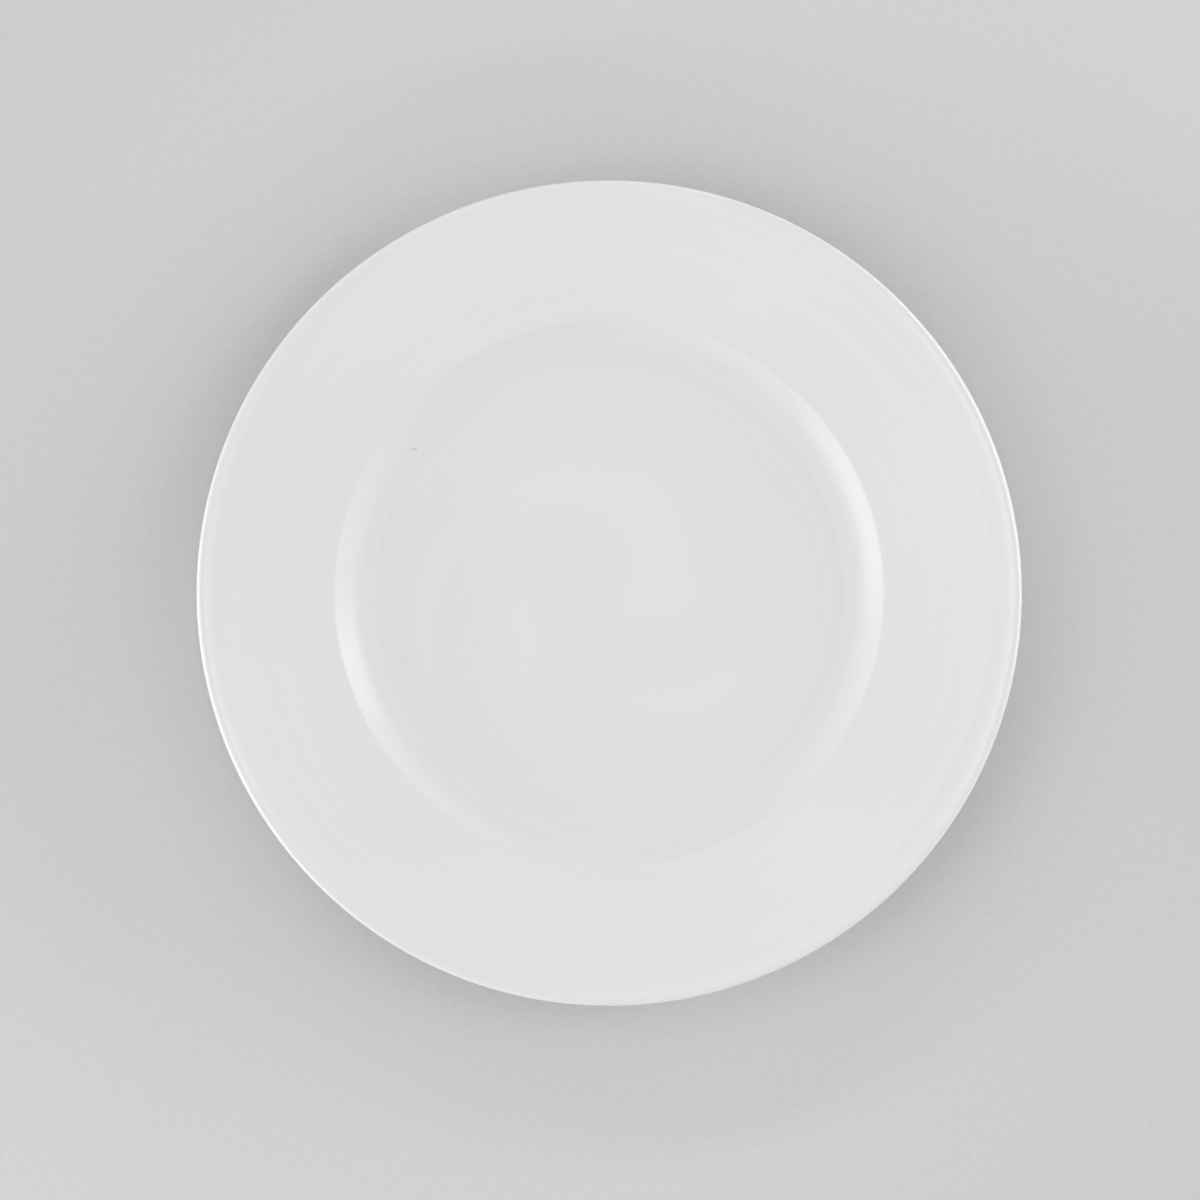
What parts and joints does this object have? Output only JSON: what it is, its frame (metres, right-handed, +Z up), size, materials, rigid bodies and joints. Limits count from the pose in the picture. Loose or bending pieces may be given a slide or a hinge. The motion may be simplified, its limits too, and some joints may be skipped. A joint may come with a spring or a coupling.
{
  "type": "plate",
  "caption": "Round wide-rimmed dinner plate in glazed white porcelain, with a shallow well, a slightly upturned lip and a bare foot ring.",
  "frame": {"origin": "centre of the foot ring's standing face, on the table", "axes": "+Z up along the axis of the plate, out of the well; the plate is round, so X and Y are free"},
  "size_m": [0.27, 0.27, 0.023],
  "materials": {
    "fired_clay": "dry fired porcelain body, ground smooth and matte where the foot stands",
    "glaze": "clear gloss over white porcelain"
  },
  "bodies": {
    "root": {"porcelain_body": "fired_clay", "glaze_coat": "glaze", "recess_glaze": "glaze"}
  },
  "joints": []
}
